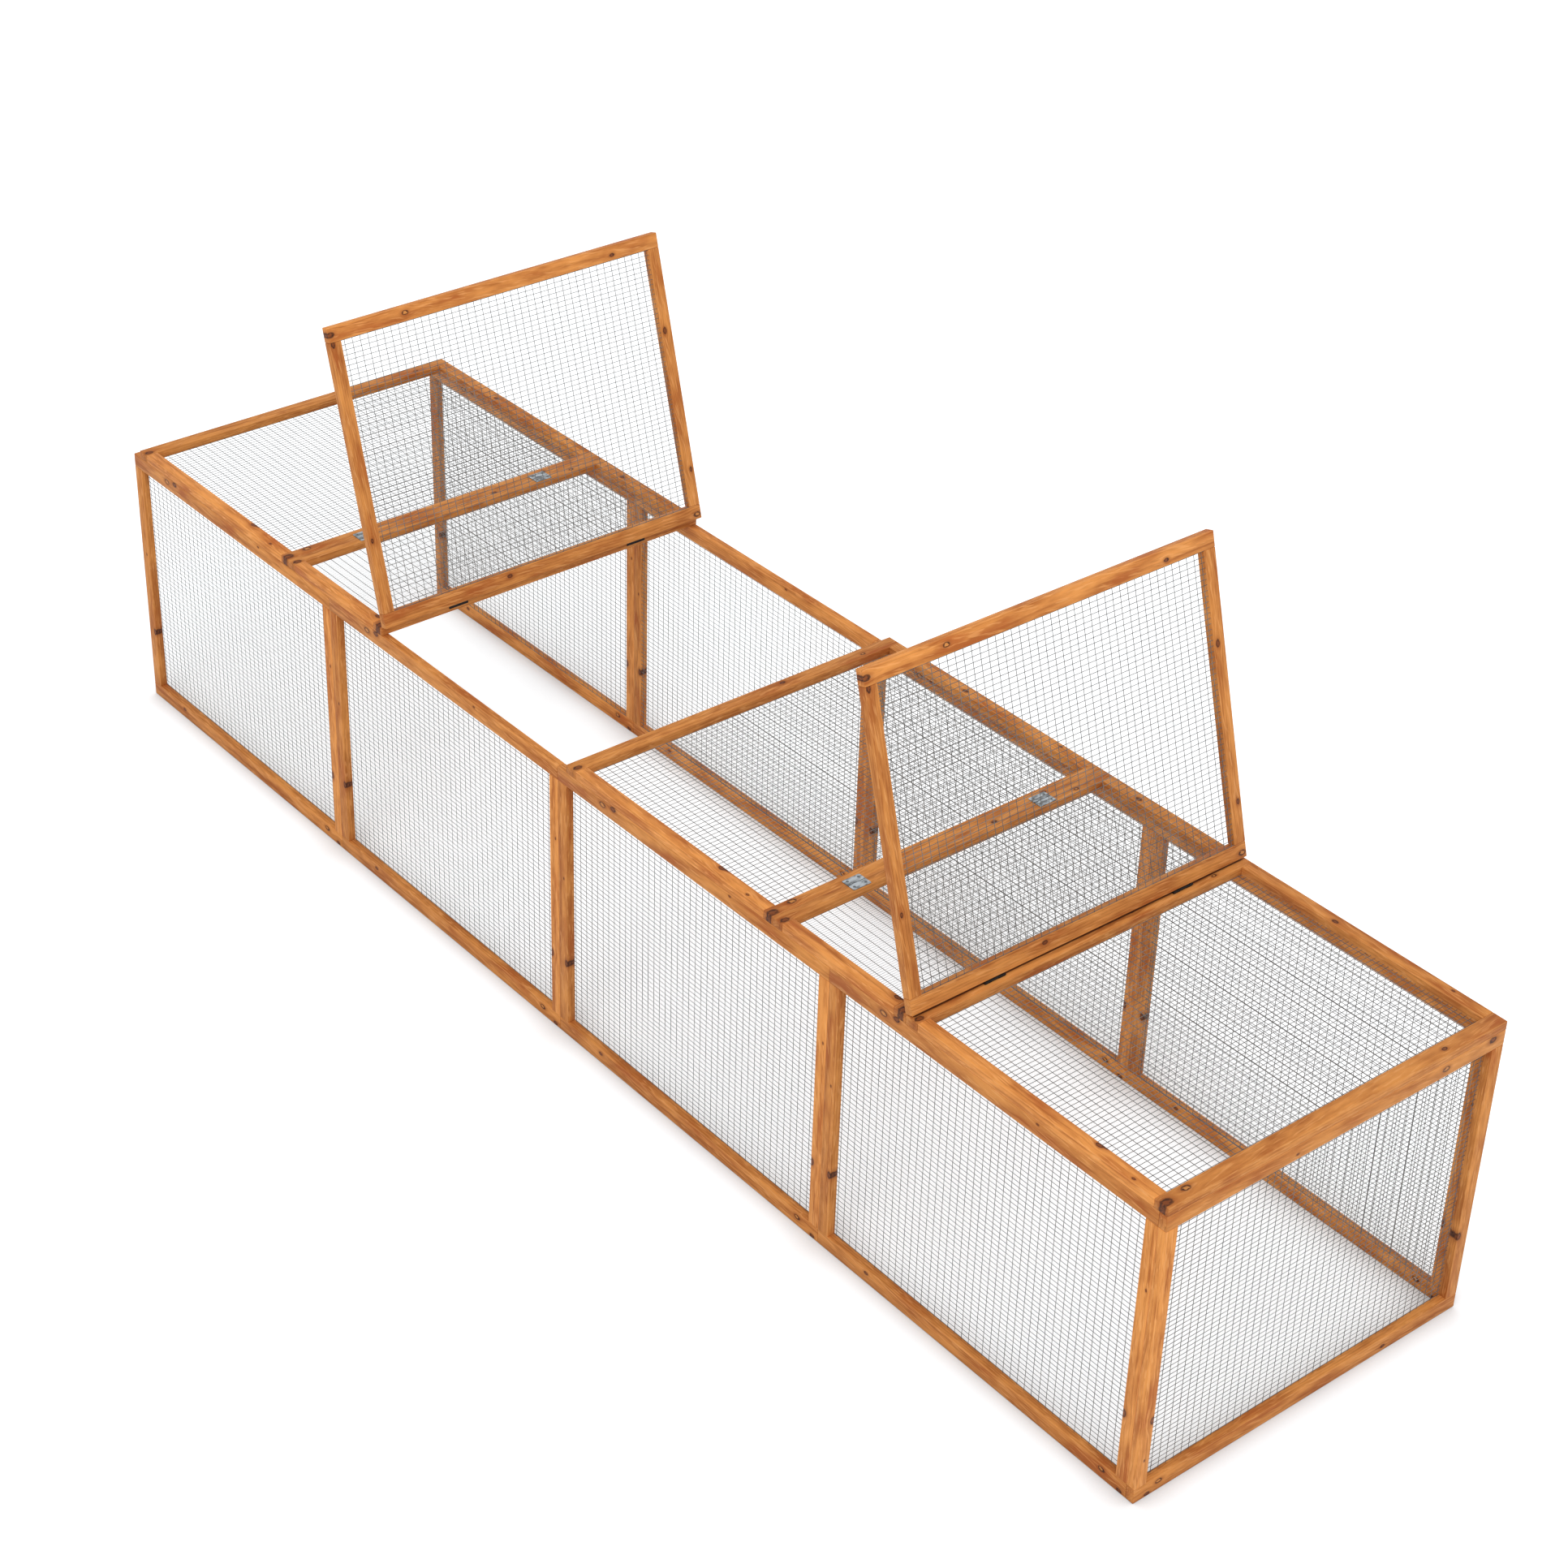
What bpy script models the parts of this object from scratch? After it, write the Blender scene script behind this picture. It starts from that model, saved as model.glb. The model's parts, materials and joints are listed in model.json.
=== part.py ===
"""A long rabbit run: framed net panels on three sides, a netted roof and two hinged lids.

Lengths are in metres. X runs along the run, from its open end to its netted end, Y runs
across it, from the near long side to the far one, and Z is up from the ground. The origin
is on the ground under the middle of the run.
"""
import math

import bmesh
import bpy
from mathutils import Matrix, Vector

# The whole run
RUN_HEIGHT = 0.610
RUN_WIDTH = 0.765
PANEL_LENGTH = 0.7658
SIDE_PANELS = 4

# Clearances
FIT_GAP = 0.0003
CUT_OVERRUN = 0.002

# Timber battens
BATTEN = 0.0172
ARRIS = 0.0008
SIDE_RAIL = 0.0293
SIDE_STILE = 0.0257
END_STILE = 0.0262
ROOF_RAIL = 0.0288
ROOF_STILE = 0.0255
ROOF_JOINT_RAIL = 0.0246
ROOF_END_RAIL = 0.0298
LID_RAIL = 0.0288
LID_STILE = 0.0255

# Roof layout along the run
ROOF_SETBACK = 0.0275
ROOF_SHORT = 0.3384
LID_BAY = 0.604
END_ROOF = 0.5935
LID_FRONT_GAP = 0.0089

# Welded net, drawn with fewer and wider strands than the real one, or as a plain sheet
# that is thin enough to weigh about as much
NET_THICK = 0.0012
PLAIN_NET_THICK = 0.0003
NET_STRAND = 0.0086
NET_LAP = 0.007
SIDE_NET_COLUMNS = 4
SIDE_NET_ROWS = 9
LID_NET_COLUMNS = 6
SHORT_ROOF_NET_COLUMNS = 4
ROOF_NET_ROWS = 3

# Lid hinges
LID_OPEN = math.radians(105.8)
HINGE_LENGTH = 0.044
HINGE_SPREAD = 0.431
HINGE_SHIFT = 0.0112
BARREL_RADIUS = 0.0017
PIN_RADIUS = 0.0007
PIN_CLEARANCE = 0.00015
PIN_HEAD_RADIUS = 0.0015
PIN_HEAD = 0.0008
LEAF_THICK = 0.001
LEAF_WELD = 0.0002
LEAF_EDGE = 0.003
LEAF_SWING_GAP = 0.0005
FIRST_PIN_DROP = 0.001
SECOND_PIN_INSET = 0.0164
SECOND_LID_CLEARANCE = 0.0008
ROUND_SIDES = 12

# Plates that tie the roof frames together
PLATE_LENGTH = 0.0335
PLATE_WIDTH = 0.0395
PLATE_THICK = 0.001
PLATE_SHIFT = 0.006
PLATE_HOLE_RADIUS = 0.0017
PLATE_HOLE_EDGE = 0.005
HOLE_SIDES = 8

# Derived sizes of the run
RUN_LENGTH = SIDE_PANELS * PANEL_LENGTH + BATTEN
SIDE_HEIGHT = RUN_HEIGHT - BATTEN - FIT_GAP
OPEN_END = -RUN_LENGTH / 2
NEAR_SIDE = -RUN_WIDTH / 2
FAR_SIDE = RUN_WIDTH / 2

# Derived places of the roof frames, of which the two long ones take up what is left
ROOF_LONG = (RUN_LENGTH - ROOF_SETBACK - 2 * ROOF_SHORT - LID_BAY - END_ROOF) / 2
FIRST_LONG_START = OPEN_END + ROOF_SETBACK
FIRST_SHORT_START = FIRST_LONG_START + ROOF_LONG
LID_BAY_START = FIRST_SHORT_START + ROOF_SHORT
SECOND_LONG_START = LID_BAY_START + LID_BAY
SECOND_SHORT_START = SECOND_LONG_START + ROOF_LONG
END_ROOF_START = SECOND_SHORT_START + ROOF_SHORT
NETTED_END = OPEN_END + RUN_LENGTH

# Derived sizes of the hinges and lids
ACROSS = {"near": HINGE_SHIFT - HINGE_SPREAD / 2, "far": HINGE_SHIFT + HINGE_SPREAD / 2}
LID_LEAN = LID_OPEN - math.pi / 2
LEAF_OFFSET = BARREL_RADIUS - LEAF_WELD
TIMBER_OFFSET = LEAF_OFFSET + LEAF_THICK + FIT_GAP
LEAF_REACH = (LEAF_OFFSET * (1 + math.cos(LID_LEAN)) - LEAF_SWING_GAP) / math.sin(LID_LEAN)
LEAF_WIDTH = min(LEAF_REACH, BATTEN - 2 * LEAF_EDGE)
LID_LENGTH = LID_BAY - 2 * TIMBER_OFFSET - LID_FRONT_GAP
SECOND_PIN_RISE = (SECOND_LID_CLEARANCE + BATTEN * math.sin(LID_LEAN)
                   - TIMBER_OFFSET * math.cos(LID_LEAN))
SECOND_LEAF_THICK = SECOND_PIN_RISE - LEAF_OFFSET - FIT_GAP


def clear_scene():
    """Remove every object, so that the script can be run again."""
    for item in list(bpy.data.objects):
        bpy.data.objects.remove(item)


def make_material(name, colour, roughness, metallic):
    """Make a plain material for one kind of surface."""
    material = bpy.data.materials.new(name)
    material.use_nodes = True
    shader = material.node_tree.nodes["Principled BSDF"]
    shader.inputs["Base Color"].default_value = (*colour, 1)
    shader.inputs["Roughness"].default_value = roughness
    shader.inputs["Metallic"].default_value = metallic
    material.diffuse_color = (*colour, 1)
    return material


def make_object(name, shape, material=None):
    """Turn a bmesh into a named object and free the bmesh."""
    mesh = bpy.data.meshes.new(name)
    shape.to_mesh(mesh)
    shape.free()
    item = bpy.data.objects.new(name, mesh)
    bpy.context.scene.collection.objects.link(item)
    if material:
        mesh.materials.append(material)
    return item


def box(name, low, high, material=None):
    """Make a box between two corners, with its origin where the corners are measured from."""
    low = Vector(low)
    high = Vector(high)
    shape = bmesh.new()
    bmesh.ops.create_cube(shape, size=1)
    place = Matrix.Translation((low + high) / 2) @ Matrix.Diagonal((*(high - low), 1))
    bmesh.ops.transform(shape, matrix=place, verts=shape.verts)
    return make_object(name, shape, material)


def rod(name, radius, low, high, sides, axis="Y", material=None):
    """Make a cylinder round the local Y or Z axis, from low to high along it."""
    shape = bmesh.new()
    bmesh.ops.create_cone(shape, cap_ends=True, segments=sides, radius1=radius,
                          radius2=radius, depth=high - low)
    bmesh.ops.translate(shape, vec=(0, 0, (low + high) / 2), verts=shape.verts)
    if axis == "Y":
        turn = Matrix.Rotation(-math.pi / 2, 4, "X")
        bmesh.ops.transform(shape, matrix=turn, verts=shape.verts)
    return make_object(name, shape, material)


def combine(target, tool, operation):
    """Join a tool body to the target, or cut it away, and remove the tool."""
    step = target.modifiers.new("step", "BOOLEAN")
    step.operation = operation
    step.object = tool
    bpy.context.view_layer.update()
    evaluated = target.evaluated_get(bpy.context.evaluated_depsgraph_get())
    mesh = bpy.data.meshes.new_from_object(evaluated)
    mesh.name = target.name
    target.modifiers.clear()
    target.data = mesh
    bpy.data.objects.remove(tool)


def break_edges(item):
    """Take the sharp arris off a batten or a frame."""
    bevel = item.modifiers.new("arris", "BEVEL")
    bevel.width = ARRIS
    bevel.segments = 1
    bevel.limit_method = "ANGLE"


def smooth_round_faces(item):
    """Shade the round faces smooth and keep the flat ones crisp."""
    item.data.shade_smooth()
    item.data.set_sharp_from_angle(angle=math.pi / 4)


def panel_frame(name, low, high, opening_low, opening_high, thin_axis, material):
    """Make one frame of four battens as a slab with its window cut through."""
    frame = box(name, low, high, material)
    cut_low = Vector(opening_low)
    cut_high = Vector(opening_high)
    cut_low[thin_axis] = low[thin_axis] - CUT_OVERRUN
    cut_high[thin_axis] = high[thin_axis] + CUT_OVERRUN
    combine(frame, box("window", cut_low, cut_high), "DIFFERENCE")
    break_edges(frame)
    return frame


def net(name, opening_low, opening_high, thin_axis, columns, rows, material):
    """Make a net over a window, lapping on to the frame all round.

    The corners give the window and, on the thin axis, the two faces of the net. The
    columns are counted along the first of the other axes and the rows along the second.
    """
    across, along = [axis for axis in range(3) if axis != thin_axis]
    low = Vector(opening_low)
    high = Vector(opening_high)
    edge_low = low.copy()
    edge_high = high.copy()
    for axis in (across, along):
        edge_low[axis] -= NET_LAP
        edge_high[axis] += NET_LAP
    sheet = box(name, edge_low, edge_high, material)
    shape = bmesh.new()
    step_across = (high[across] - low[across] + NET_STRAND) / columns
    step_along = (high[along] - low[along] + NET_STRAND) / rows
    for column in range(columns):
        for row in range(rows):
            gap_low = low.copy()
            gap_high = low.copy()
            gap_low[across] += column * step_across
            gap_low[along] += row * step_along
            gap_high[across] = gap_low[across] + step_across - NET_STRAND
            gap_high[along] = gap_low[along] + step_along - NET_STRAND
            gap_low[thin_axis] = low[thin_axis] - CUT_OVERRUN
            gap_high[thin_axis] = high[thin_axis] + CUT_OVERRUN
            cell = bmesh.ops.create_cube(shape, size=1)["verts"]
            place = Matrix.Translation((gap_low + gap_high) / 2)
            place = place @ Matrix.Diagonal((*(gap_high - gap_low), 1))
            bmesh.ops.transform(shape, matrix=place, verts=cell)
    combine(sheet, make_object("gaps", shape), "DIFFERENCE")
    return sheet


def plain_net(name, opening_low, opening_high, thin_axis, material):
    """Make a net as a thin sheet over a window, lapping on to the frame all round."""
    low = Vector(opening_low)
    high = Vector(opening_high)
    for axis in range(3):
        if axis != thin_axis:
            low[axis] -= NET_LAP
            high[axis] += NET_LAP
    return box(name, low, high, material)


def side_panels(timber, wire):
    """Build the four net panels of each long side."""
    faces = {"near": (NEAR_SIDE, NEAR_SIDE + BATTEN), "far": (FAR_SIDE - BATTEN, FAR_SIDE)}
    net_faces = {"near": (NEAR_SIDE + BATTEN + FIT_GAP,
                          NEAR_SIDE + BATTEN + FIT_GAP + NET_THICK),
                 "far": (FAR_SIDE - BATTEN - FIT_GAP - PLAIN_NET_THICK,
                         FAR_SIDE - BATTEN - FIT_GAP)}
    for side, (outside_low, outside_high) in faces.items():
        for number in range(SIDE_PANELS):
            start = OPEN_END + number * PANEL_LENGTH
            end = start + PANEL_LENGTH - FIT_GAP
            low = (start, outside_low, 0)
            high = (end, outside_high, SIDE_HEIGHT)
            window_low = (start + SIDE_STILE, net_faces[side][0], SIDE_RAIL)
            window_high = (end - SIDE_STILE, net_faces[side][1], SIDE_HEIGHT - SIDE_RAIL)
            panel_frame(f"{side}_side_frame_{number + 1}", low, high, window_low,
                        window_high, 1, timber)
            net_name = f"{side}_side_net_{number + 1}"
            if side == "near":
                net(net_name, window_low, window_high, 1, SIDE_NET_COLUMNS,
                    SIDE_NET_ROWS, wire)
            else:
                plain_net(net_name, window_low, window_high, 1, wire)


def end_panel(timber, wire):
    """Build the net panel that closes the run's far end."""
    start = OPEN_END + SIDE_PANELS * PANEL_LENGTH
    net_face = start - FIT_GAP
    low = (start, NEAR_SIDE, 0)
    high = (NETTED_END, FAR_SIDE, SIDE_HEIGHT)
    window_low = (net_face - NET_THICK, NEAR_SIDE + END_STILE, SIDE_RAIL)
    window_high = (net_face, FAR_SIDE - END_STILE, SIDE_HEIGHT - SIDE_RAIL)
    panel_frame("end_frame", low, high, window_low, window_high, 0, timber)
    net("end_net", window_low, window_high, 0, SIDE_NET_COLUMNS, SIDE_NET_ROWS, wire)


def roof_panels(timber, wire):
    """Build the five fixed roof frames and their nets, leaving one bay open.

    The nets of the long frames are plain sheets.
    """
    layout = (
        (FIRST_LONG_START, FIRST_SHORT_START - FIT_GAP, ROOF_RAIL, ROOF_JOINT_RAIL, True),
        (FIRST_SHORT_START, LID_BAY_START, ROOF_JOINT_RAIL, ROOF_RAIL, False),
        (SECOND_LONG_START, SECOND_SHORT_START - FIT_GAP, ROOF_RAIL, ROOF_JOINT_RAIL,
         True),
        (SECOND_SHORT_START, END_ROOF_START - FIT_GAP, ROOF_JOINT_RAIL, ROOF_RAIL, False),
        (END_ROOF_START, NETTED_END, ROOF_RAIL, ROOF_END_RAIL, True),
    )
    for number, (start, end, first_rail, last_rail, plain) in enumerate(layout, 1):
        low = (start, NEAR_SIDE, SIDE_HEIGHT + FIT_GAP)
        high = (end, FAR_SIDE, RUN_HEIGHT)
        thickness = PLAIN_NET_THICK if plain else NET_THICK
        window_low = (start + first_rail, NEAR_SIDE + ROOF_STILE, SIDE_HEIGHT - thickness)
        window_high = (end - last_rail, FAR_SIDE - ROOF_STILE, SIDE_HEIGHT)
        panel_frame(f"roof_frame_{number}", low, high, window_low, window_high, 2, timber)
        net_name = f"roof_net_{number}"
        if plain:
            plain_net(net_name, window_low, window_high, 2, wire)
        else:
            net(net_name, window_low, window_high, 2, SHORT_ROOF_NET_COLUMNS,
                ROOF_NET_ROWS, wire)


def joining_plates(zinc):
    """Build the square steel plates that tie the roof frames across their joints."""
    half_length = PLATE_LENGTH / 2
    half_width = PLATE_WIDTH / 2
    bottom = RUN_HEIGHT + FIT_GAP
    reach_x = half_length - PLATE_HOLE_EDGE
    reach_y = half_width - PLATE_HOLE_EDGE
    joints = (("first", FIRST_SHORT_START), ("second", SECOND_SHORT_START))
    for joint, place in joints:
        for side, across in ACROSS.items():
            plate = box(f"{joint}_joint_plate_{side}", (-half_length, -half_width, 0),
                        (half_length, half_width, PLATE_THICK), zinc)
            for hole_x in (-reach_x, reach_x):
                for hole_y in (-reach_y, reach_y):
                    hole = rod("screw_hole", PLATE_HOLE_RADIUS, -CUT_OVERRUN,
                               PLATE_THICK + CUT_OVERRUN, HOLE_SIDES, "Z")
                    hole.location = (hole_x, hole_y, 0)
                    combine(plate, hole, "DIFFERENCE")
            plate.location = (place - FIT_GAP / 2 + PLATE_SHIFT, across, bottom)


def knuckle_spans():
    """Return the stretches of the barrel: two outer ones and the one between them."""
    length = (HINGE_LENGTH - 2 * FIT_GAP) / 3
    start = -HINGE_LENGTH / 2
    step = length + FIT_GAP
    spans = [(start + index * step, start + index * step + length) for index in range(3)]
    return [spans[0], spans[2]], [spans[1]]


def hinge_leaf(name, spans, thickness, steel):
    """Make one hinge leaf round the local Y axis.

    The plate lies below the pin and reaches towards -X. It carries the leaf's own
    knuckles and stops short of the other leaf's.
    """
    top = -LEAF_OFFSET
    bottom = top - thickness
    notch = BARREL_RADIUS + FIT_GAP
    half = HINGE_LENGTH / 2
    leaf = box(name, (-LEAF_WIDTH, -half, bottom), (-notch, half, top), steel)
    for low, high in spans:
        tab = box("tab", (-notch - LEAF_THICK, low, bottom), (BARREL_RADIUS / 2, high, top))
        combine(leaf, tab, "UNION")
        combine(leaf, rod("knuckle", BARREL_RADIUS, low, high, ROUND_SIDES), "UNION")
    bore = rod("bore", PIN_RADIUS + PIN_CLEARANCE, -half - CUT_OVERRUN, half + CUT_OVERRUN,
               ROUND_SIDES)
    combine(leaf, bore, "DIFFERENCE")
    smooth_round_faces(leaf)
    return leaf


def hinge_pin(name, steel):
    """Make a hinge pin round the local Y axis, with a head at each end."""
    half = HINGE_LENGTH / 2 + FIT_GAP
    pin = rod(name, PIN_RADIUS, -half - PIN_HEAD / 2, half + PIN_HEAD / 2, ROUND_SIDES,
              material=steel)
    for low, high in ((-half - PIN_HEAD, -half), (half, half + PIN_HEAD)):
        combine(pin, rod("head", PIN_HEAD_RADIUS, low, high, ROUND_SIDES), "UNION")
    smooth_round_faces(pin)
    return pin


def hinges(lid, axis, fixed_thickness, fixed_turn, moving_turn, steel):
    """Set two hinges on a lid's axis: fixed leaf, moving leaf and pin for each.

    The turns are angles about Y and about Z that lay each leaf on its timber while the
    lid is closed. The moving leaf hangs on the lid's axis.
    """
    outer, inner = knuckle_spans()
    for side, across in ACROSS.items():
        place = Vector((axis.location.x, across, axis.location.z))
        fixed = hinge_leaf(f"{lid}_hinge_{side}_fixed_leaf", outer, fixed_thickness, steel)
        fixed.location = place
        fixed.rotation_euler = (0, fixed_turn[0], fixed_turn[1])
        pin = hinge_pin(f"{lid}_hinge_{side}_pin", steel)
        pin.location = place
        moving = hinge_leaf(f"{lid}_hinge_{side}_moving_leaf", inner, LEAF_THICK, steel)
        moving.parent = axis
        moving.location = (0, across, 0)
        moving.rotation_euler = (0, moving_turn[0], moving_turn[1])


def lid_panel(lid, place, inner_face, timber, wire):
    """Build a lid closed, in its hinge axis's own coordinates, and lean it back open.

    The inner face is its height above the pin while the lid is closed.
    """
    axis = bpy.data.objects.new(f"{lid}_axis", None)
    bpy.context.scene.collection.objects.link(axis)
    axis.location = place
    start = TIMBER_OFFSET
    end = TIMBER_OFFSET + LID_LENGTH
    rail_end = start + LID_RAIL
    lift_start = end - LID_RAIL
    top = inner_face + BATTEN
    pieces = (
        ("hinge_rail", (start, NEAR_SIDE, inner_face), (rail_end, FAR_SIDE, top)),
        ("lift_rail", (lift_start, NEAR_SIDE, inner_face), (end, FAR_SIDE, top)),
        ("near_stile", (rail_end + FIT_GAP, NEAR_SIDE, inner_face),
         (lift_start - FIT_GAP, NEAR_SIDE + LID_STILE, top)),
        ("far_stile", (rail_end + FIT_GAP, FAR_SIDE - LID_STILE, inner_face),
         (lift_start - FIT_GAP, FAR_SIDE, top)),
    )
    for piece, low, high in pieces:
        batten = box(f"{lid}_{piece}", low, high, timber)
        break_edges(batten)
        batten.parent = axis
    window_low = (rail_end, NEAR_SIDE + LID_STILE, inner_face - FIT_GAP - NET_THICK)
    window_high = (lift_start, FAR_SIDE - LID_STILE, inner_face - FIT_GAP)
    sheet = net(f"{lid}_net", window_low, window_high, 2, LID_NET_COLUMNS,
                ROOF_NET_ROWS, wire)
    sheet.parent = axis
    return axis


def build_run():
    """Build every piece of the run, with the lids standing open."""
    clear_scene()
    timber = make_material("stained_timber", (0.56, 0.25, 0.09), 0.6, 0)
    wire = make_material("galvanised_net", (0.50, 0.52, 0.53), 0.4, 1)
    zinc = make_material("zinc_plate", (0.62, 0.64, 0.66), 0.35, 1)
    steel = make_material("black_steel", (0.03, 0.03, 0.03), 0.5, 0.5)
    side_panels(timber, wire)
    end_panel(timber, wire)
    roof_panels(timber, wire)
    joining_plates(zinc)
    quarter = math.pi / 2
    first_place = (LID_BAY_START + TIMBER_OFFSET, 0, RUN_HEIGHT - FIRST_PIN_DROP)
    first = lid_panel("lid_1", first_place, FIRST_PIN_DROP - BATTEN, timber, wire)
    hinges("lid_1", first, LEAF_THICK, (-quarter, math.pi), (-quarter, 0), steel)
    second_place = (END_ROOF_START + SECOND_PIN_INSET, 0, RUN_HEIGHT + SECOND_PIN_RISE)
    second = lid_panel("lid_2", second_place, 0, timber, wire)
    hinges("lid_2", second, SECOND_LEAF_THICK, (0, 0), (quarter, math.pi), steel)
    for axis in (first, second):
        axis.rotation_euler = (0, -LID_OPEN, 0)


build_run()
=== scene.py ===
"""The look of a long timber and net rabbit run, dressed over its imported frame.

Each panel's battens and net, the joining plates and their screws are made here
as finished pieces. The hinges are painted, and a plain studio stage stands round
it all. It is laid out as an add-on: the sizes and colours are properties, and
each group of pieces has its own operator.
"""
import json
import math
import random

import bmesh
import bpy
from bpy.props import FloatProperty, FloatVectorProperty, PointerProperty
from mathutils import Matrix, Vector


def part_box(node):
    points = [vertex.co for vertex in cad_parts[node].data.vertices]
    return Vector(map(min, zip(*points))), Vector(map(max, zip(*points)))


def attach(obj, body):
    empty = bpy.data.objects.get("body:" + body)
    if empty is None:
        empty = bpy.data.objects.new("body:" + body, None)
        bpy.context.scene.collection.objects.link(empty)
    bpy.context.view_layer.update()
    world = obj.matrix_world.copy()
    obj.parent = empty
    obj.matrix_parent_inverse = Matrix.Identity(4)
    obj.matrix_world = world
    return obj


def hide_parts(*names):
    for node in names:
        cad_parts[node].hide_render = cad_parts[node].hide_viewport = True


bl_info = {
    "name": "Rabbit run",
    "version": (1, 0, 0),
    "blender": (4, 5, 0),
    "location": "3D View > Sidebar > Rabbit run",
    "description": "Makes the battens, nets and fittings of a timber rabbit run",
    "category": "Object",
}

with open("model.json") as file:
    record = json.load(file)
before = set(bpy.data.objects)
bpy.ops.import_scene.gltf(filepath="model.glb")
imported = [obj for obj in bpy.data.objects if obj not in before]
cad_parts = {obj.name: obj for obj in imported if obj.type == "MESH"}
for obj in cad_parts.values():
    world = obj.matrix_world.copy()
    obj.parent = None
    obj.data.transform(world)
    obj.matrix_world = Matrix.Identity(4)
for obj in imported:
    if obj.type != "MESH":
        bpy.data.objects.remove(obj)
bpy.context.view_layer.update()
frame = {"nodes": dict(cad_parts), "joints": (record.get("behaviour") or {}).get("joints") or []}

SIDES = ("near", "far")
SIDE_PANELS = range(1, 5)
ROOF_PANELS = range(1, 6)
SHORT_ROOF_PANELS = (2, 4)
LIDS = ("lid_1", "lid_2")
X, Y, Z = 0, 1, 2
SHARP_FROM = math.radians(30.0)  # faces that meet at more than this keep a sharp edge


# Sizes and colours that a user would change

def length(name, description, default):
    """A size property in metres."""
    return FloatProperty(name=name, description=description, default=default,
                         min=0.0, precision=5, subtype="DISTANCE", unit="LENGTH")


def colour(name, description, default):
    """A colour property, in linear light."""
    return FloatVectorProperty(name=name, description=description, default=default,
                               min=0.0, max=1.0, size=3, subtype="COLOR")


def share(name, description, default):
    """A plain number property between 0 and 1."""
    return FloatProperty(name=name, description=description, default=default,
                         min=0.0, max=1.0, subtype="FACTOR")


class RUN_PG_timber(bpy.types.PropertyGroup):
    side_rail: length("Side rail", "Width of the side and end frames' rails", 0.0293)
    side_stile: length("Side stile", "Width of the stiles of the side frames", 0.0257)
    end_stile: length("End stile", "Width of the stiles of the end frame", 0.0262)
    roof_rail: length("Roof rail", "Width of the roof frames' outer rails", 0.0288)
    joint_rail: length("Joint rail", "Width of the rails under the plates", 0.0246)
    end_rail: length("End rail", "Width of the rail over the end frame", 0.0298)
    roof_stile: length("Roof stile", "Width of the stiles of the roof frames", 0.0255)
    arris: length("Arris", "Rounding of the battens' edges", 0.0011)
    joint_gap: length("Joint gap", "Gap where a batten butts against another", 0.0002)
    pale: colour("Pale stain", "Colour of the early wood", (0.780, 0.311, 0.076))
    deep: colour("Deep stain", "Colour of the late wood and dark streaks",
                 (0.436, 0.133, 0.0265))
    knot: colour("Knots", "Colour of the knots", (0.060, 0.018, 0.007))


class RUN_PG_net(bpy.types.PropertyGroup):
    wire: length("Wire", "Thickness of the net's wires", 0.00105)
    weld: length("Weld", "How far two welded wires sink into each other", 0.00025)
    wide: length("Wide pitch", "Distance between the wires the long way", 0.01707)
    narrow: length("Narrow pitch", "Distance between the wires the short way", 0.00982)
    fine_wire: length("Fine wire", "Thickness of the short roof frames' cross wires",
                      0.00050)
    fine: length("Fine pitch", "Distance between the short roof frames' cross wires",
                 0.00545)
    inset: length("Inset", "How far the net lies within the battens' inner faces",
                  0.0010)
    let_in: length("Let in", "How far the wires run into the battens", 0.0020)
    zinc: colour("Net zinc", "Colour of the galvanised wire", (0.166, 0.157, 0.147))


class RUN_PG_fittings(bpy.types.PropertyGroup):
    corner: length("Plate corner", "Corner radius of the joining plates", 0.0025)
    rim: length("Plate rim", "Rounding of the plates' upper edges", 0.00022)
    groove: length("Plate groove", "Width of the groove across a plate", 0.0011)
    screw: length("Screw head", "Radius of the plate screws' heads", 0.0031)
    screw_inset: length("Screw inset", "How far the screws sit in from a plate's edges",
                        0.0072)
    zinc: colour("Plate zinc", "Colour of the zinc plates", (0.46, 0.50, 0.53))
    black: colour("Hinge paint", "Colour of the black hinges", (0.012, 0.009, 0.008))


class RUN_PG_stage(bpy.types.PropertyGroup):
    floor: length("Floor", "Half the width of the floor", 60.0)
    camera_place: FloatVectorProperty(
        name="Camera place", description="Where the camera stands",
        default=(3.9326, -3.1790, 3.6800), size=3, subtype="TRANSLATION", unit="LENGTH")
    camera_turn: FloatVectorProperty(
        name="Camera turn", description="Which way the camera looks",
        default=(0.996827, -0.018061, 0.904043), size=3, subtype="EULER",
        unit="ROTATION")
    lens: FloatProperty(name="Lens", description="Focal length in millimetres",
                        default=73.007, min=1.0)
    shift: FloatProperty(name="Shift", description="Sideways shift of the camera",
                         default=0.04)
    sun: FloatProperty(name="Sun", description="Strength of the soft main light",
                       default=1.42, min=0.0)
    sun_turn: FloatVectorProperty(
        name="Sun turn", description="Which way the soft main light shines",
        default=(0.379, 0.518, 0.0), size=3, subtype="EULER", unit="ROTATION")
    sun_spread: FloatProperty(
        name="Sun spread", description="Width of the soft main light, as an angle",
        default=math.radians(50.0), min=0.0, subtype="ANGLE", unit="ROTATION")
    sky: FloatProperty(name="Sky", description="Strength of the light from all round",
                       default=0.525, min=0.0)
    glow: share("Floor glow", "How much the floor adds to its lit colour", 0.42)
    contact: share("Contact shadow", "Depth of the shadow close to the battens", 0.80)
    contact_reach: length("Contact reach", "How far that shadow reaches", 0.085)


# Shader values and finishes

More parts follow.
